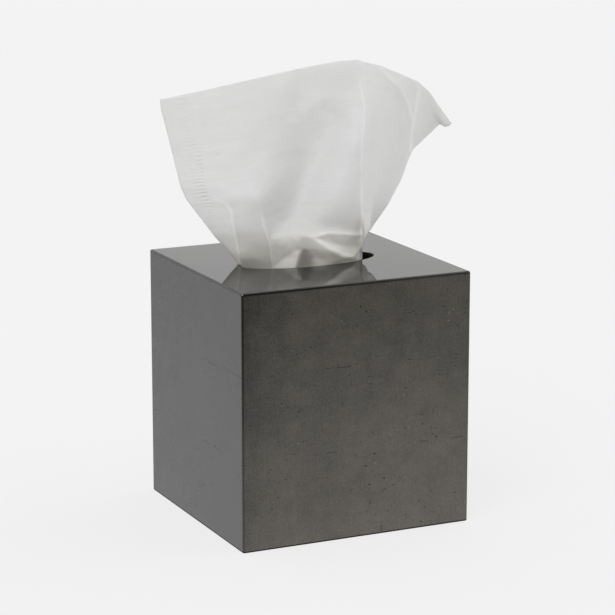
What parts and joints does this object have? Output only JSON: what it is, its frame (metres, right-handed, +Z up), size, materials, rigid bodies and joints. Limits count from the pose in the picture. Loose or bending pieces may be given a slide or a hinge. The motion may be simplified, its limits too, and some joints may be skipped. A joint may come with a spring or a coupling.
{
  "type": "tissue box cover",
  "caption": "Box-shaped lacquered tissue box cover with no bottom and an oval mouth in its top, standing over a carton of tissues with one tissue pulled up through the mouth.",
  "frame": {"origin": "the middle of the base, at table height, on the carton's bottom and level with the cover's rim", "axes": "+Z up, +X along the long axis of the oval mouth, +Y towards the back wall"},
  "size_m": [0.1768, 0.133, 0.2606],
  "materials": {
    "pewter_lacquer": "fibreboard under dark pewter leaf and clear gloss lacquer",
    "carton_board": "plain uncoated folding card",
    "tissue_stack": "stacked soft creped paper",
    "tissue_paper": "soft creped two-ply paper"
  },
  "bodies": {
    "root": {"cover": "pewter_lacquer", "tissue_carton": "carton_board", "tissue_pack": "tissue_stack", "tissue": "tissue_paper"}
  },
  "joints": []
}
